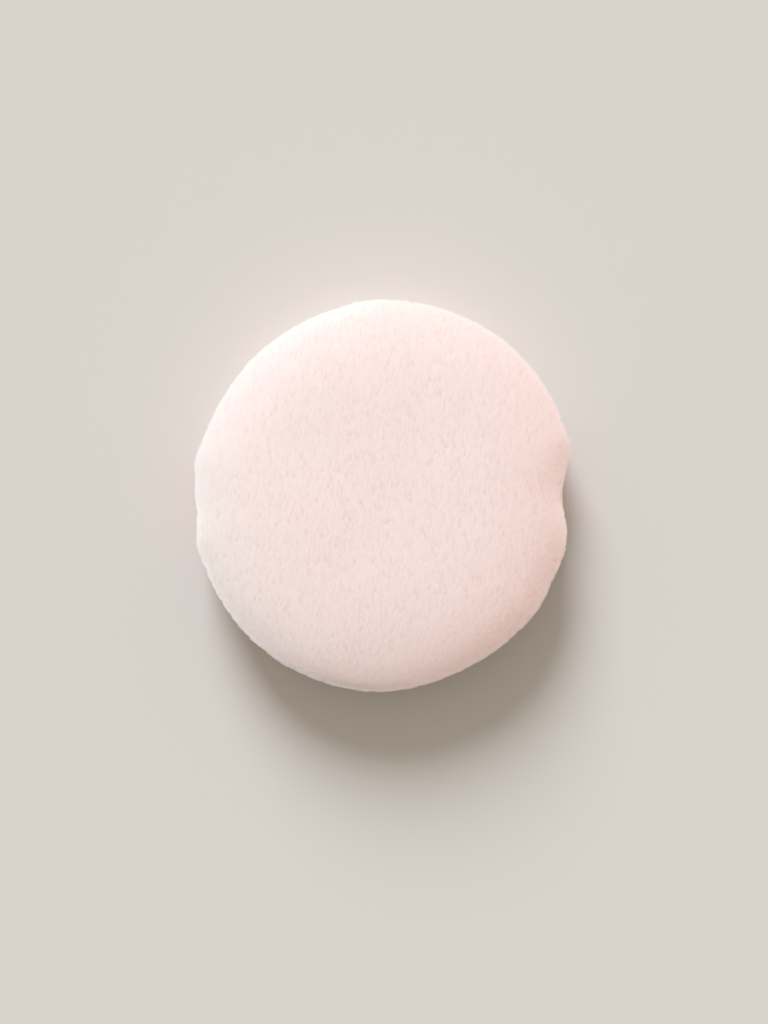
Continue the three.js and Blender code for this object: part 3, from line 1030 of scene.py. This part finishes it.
COTTON = thread_material()
line = closing_line()
closing_stitches = new_piece("closing_stitches", line, [])
closing_stitches.data.edges.add(len(line) - 1)
closing_stitches.data.edges.foreach_set("vertices", [i + j for i in range(len(line) - 1) for j in (0, 1)])
sweep = closing_stitches.modifiers.new("thread", "NODES")
sweep.node_group = thread_tree()
set_input(sweep, "Diameter", THREAD_DIAMETER)
set_input(sweep, "Material", COTTON)
keep_modifiers(closing_stitches)
closing_stitches.data.shade_smooth()
print(closing_stitches.name, len(closing_stitches.data.polygons), "faces")
for node, finish in (("foam_core", foam_material()), ("seam_thread", COTTON)):
    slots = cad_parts[node].data.materials
    slots.clear()
    slots.append(finish)

# %% [markdown]
# The covers, piles and closing stitches ride on the puff, a body of the imported model, whose own pieces for
# them are hidden. A ribbon half is sewn to the puff at one end and goes with the moving middle at the other;
# here its points are only fixed in place, and the imported ribbon is hidden.

# %% bodies
for piece in (velour_face, velour_back, *piles):
    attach(piece, "puff")
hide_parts("face_cover")
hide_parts("back_cover")
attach(closing_stitches, "puff")
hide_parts("closing_thread")
for piece, side in ((ribbon_right, 1), (ribbon_left, -1)):
    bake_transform(piece)
    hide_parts("finger_ribbon")
PIECES = (velour_face, velour_back, ribbon_right, ribbon_left, closing_stitches, *piles)

# %% [markdown]
# The table is plain and pale. When the ribbon is pulled down, the puff stands on it, so the table goes down
# with the ribbon's middle.

# %% floor
HALF_FLOOR = 6.0
FLOOR_COLOUR = linear(238, 234, 233)
corners = [(x * HALF_FLOOR, y * HALF_FLOOR, 0) for x, y in ((-1, -1), (1, -1), (1, 1), (-1, 1))]
floor = new_piece("floor", corners, [(0, 1, 2, 3)])
floor_material, _, floor_shader = new_material("floor", Roughness=0.9, Specular_IOR_Level=0.1)
floor_shader.inputs["Base Color"].default_value = FLOOR_COLOUR
floor.data.materials.append(floor_material)
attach(floor, "ribbon")
print("floor", 2 * HALF_FLOOR, "metres wide")

# %% [markdown]
# Daylight falls from the far side, low enough for a long soft shadow, and the pale room fills in the rest.
# The room is the world's colour, warm, and brighter towards the window. What the camera sees of it past the
# table is a pale wall of its own colour.

# %% the room
ROOM_LIGHT = (1.0, 0.9, 0.74, 1.0)
ROOM_STRENGTH = 0.4
WINDOW_SIDE = 0.2
WALL = linear(219, 212, 207)
scene = bpy.context.scene
scene.view_settings.view_transform = "Standard"
scene.world = bpy.data.worlds.new("room")
scene.world.use_nodes = True
room = scene.world.node_tree
light = room.nodes["Background"]
light.inputs["Color"].default_value = ROOM_LIGHT
direction = add_node(room, "ShaderNodeTexCoord").outputs["Generated"]
far_side = add_node(room, "ShaderNodeSeparateXYZ", {"Vector": direction}).outputs["Y"]
strength = plain_sum(room, "MULTIPLY_ADD", far_side, WINDOW_SIDE, ROOM_STRENGTH)
plug(room, strength, light.inputs["Strength"])
wall = add_node(room, "ShaderNodeBackground", {"Color": WALL, "Strength": 1.0})
rays = add_node(room, "ShaderNodeLightPath").outputs
mirrored = plain_sum(room, "MAXIMUM", rays["Is Glossy Ray"], rays["Is Transmission Ray"])
shown = plain_sum(room, "MAXIMUM", rays["Is Camera Ray"], mirrored)
either = add_node(room, "ShaderNodeMixShader", {"Fac": shown})
plug(room, light.outputs["Background"], either.inputs[1])
plug(room, wall.outputs["Background"], either.inputs[2])
plug(room, either.outputs["Shader"], room.nodes["World Output"].inputs["Surface"])

# %% [markdown]
# One lamp is the window: cool daylight, even over the whole table, and as wide as the sky seen through it.
# Two weak, low ones stand for light that comes back off the walls. They reach only the puff, through light
# linking, and aren't passed on from it, so that the shadow on the table keeps its depth.

# %% lamps
LAMP_DISTANCE = 6.0
WINDOW = {"power": 3.06, "elevation": 27.2, "across": 101, "colour": (0.93, 0.965, 1.0)}
RIGHT_WALL = {"power": 160.0, "elevation": 19, "across": 315, "colour": (1.0, 0.68, 0.58)}
LEFT_WALL = {"power": 215.0, "elevation": 12, "across": 197, "colour": (0.54, 0.96, 1.0)}
WINDOW_WIDTH = math.radians(27)
WALL_SIZE = 4.5


def aimed_lamp(name, kind, power, elevation, across, colour):
    """A lamp that faces the middle of the table, placed by two angles in degrees."""
    data = bpy.data.lights.new(name, kind)
    data.energy = power
    data.color = colour
    up, round_table = math.radians(elevation), math.radians(across)
    level = math.cos(up)
    towards = Vector((math.cos(round_table) * level, math.sin(round_table) * level, math.sin(up)))
    lamp = bpy.data.objects.new(name, data)
    lamp.location = towards * LAMP_DISTANCE
    lamp.rotation_euler = towards.to_track_quat("Z", "Y").to_euler()
    scene.collection.objects.link(lamp)
    print(name, "at", [round(x, 2) for x in lamp.location], "metres")
    return lamp


aimed_lamp("window", "SUN", **WINDOW).data.angle = WINDOW_WIDTH
on_the_puff = bpy.data.collections.new("on_the_puff")
for piece in PIECES:
    on_the_puff.objects.link(piece)
for name, wall_light in (("right_wall", RIGHT_WALL), ("left_wall", LEFT_WALL)):
    lamp = aimed_lamp(name, "AREA", **wall_light)
    lamp.data.size = WALL_SIZE
    lamp.data.cycles.max_bounces = 0
    lamp.light_linking.receiver_collection = on_the_puff

# %% [markdown]
# The camera looks straight down from arm's length. The frame's height is measured at the seam, where the
# outline is widest, and the lens follows from it.

# %% camera
FRAME_HEIGHT = 207.5 * MM
CAMERA_DISTANCE = 0.62
CAMERA_TURN = math.radians(-2.6)
CAMERA_ASIDE, CAMERA_BEFORE = -0.1 * MM, -3.15 * MM
SENSOR = 36
camera_data = bpy.data.cameras.new("camera")
camera_data.sensor_width = SENSOR
camera_data.lens = SENSOR * CAMERA_DISTANCE / FRAME_HEIGHT
camera = bpy.data.objects.new("camera", camera_data)
camera.location = (CAMERA_ASIDE, CAMERA_BEFORE, CAMERA_DISTANCE + SEAM)
camera.rotation_euler = (0, 0, CAMERA_TURN)
scene.collection.objects.link(camera)
scene.camera = camera
print("lens", round(camera_data.lens, 1), "mm")
